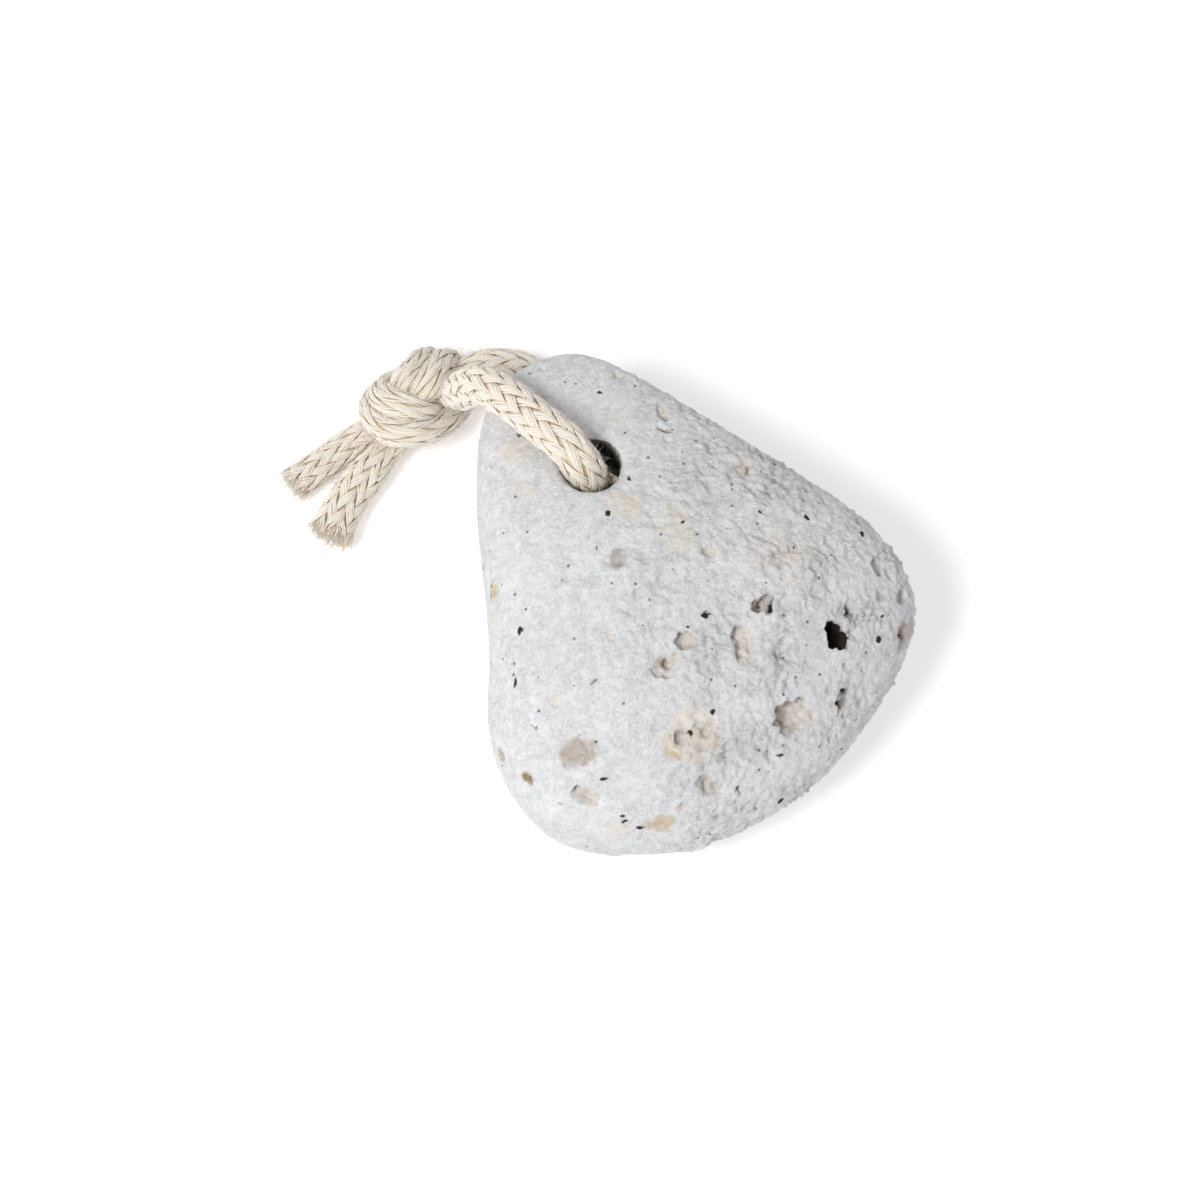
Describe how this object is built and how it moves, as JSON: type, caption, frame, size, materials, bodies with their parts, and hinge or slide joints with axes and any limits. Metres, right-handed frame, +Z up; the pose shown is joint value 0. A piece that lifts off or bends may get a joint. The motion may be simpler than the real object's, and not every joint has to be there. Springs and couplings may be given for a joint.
{
  "type": "pumice stone",
  "caption": "Rounded, water-worn pumice stone with a hole through its narrow end, threaded with a braided cotton cord whose ends are tied together in an overhand knot.",
  "frame": {"origin": "middle of the stone's box at the ground it lies on, without the cord", "axes": "+Z up out of the worn flat, +Y along the stone from its broad end to its narrow end, +X to the right when the narrow end points away"},
  "size_m": [0.1036, 0.0927, 0.0383],
  "materials": {
    "pumice": "dry, matt and porous, pale cool grey with cream linings in its pits",
    "cotton_cord": "undyed braided cotton, matt and slightly fuzzy"
  },
  "bodies": {
    "root": {"pumice_stone": "pumice", "cord_loop": "cotton_cord", "cord_knot": "cotton_cord", "cord_tail_long": "cotton_cord", "cord_tail_short": "cotton_cord"}
  },
  "joints": []
}
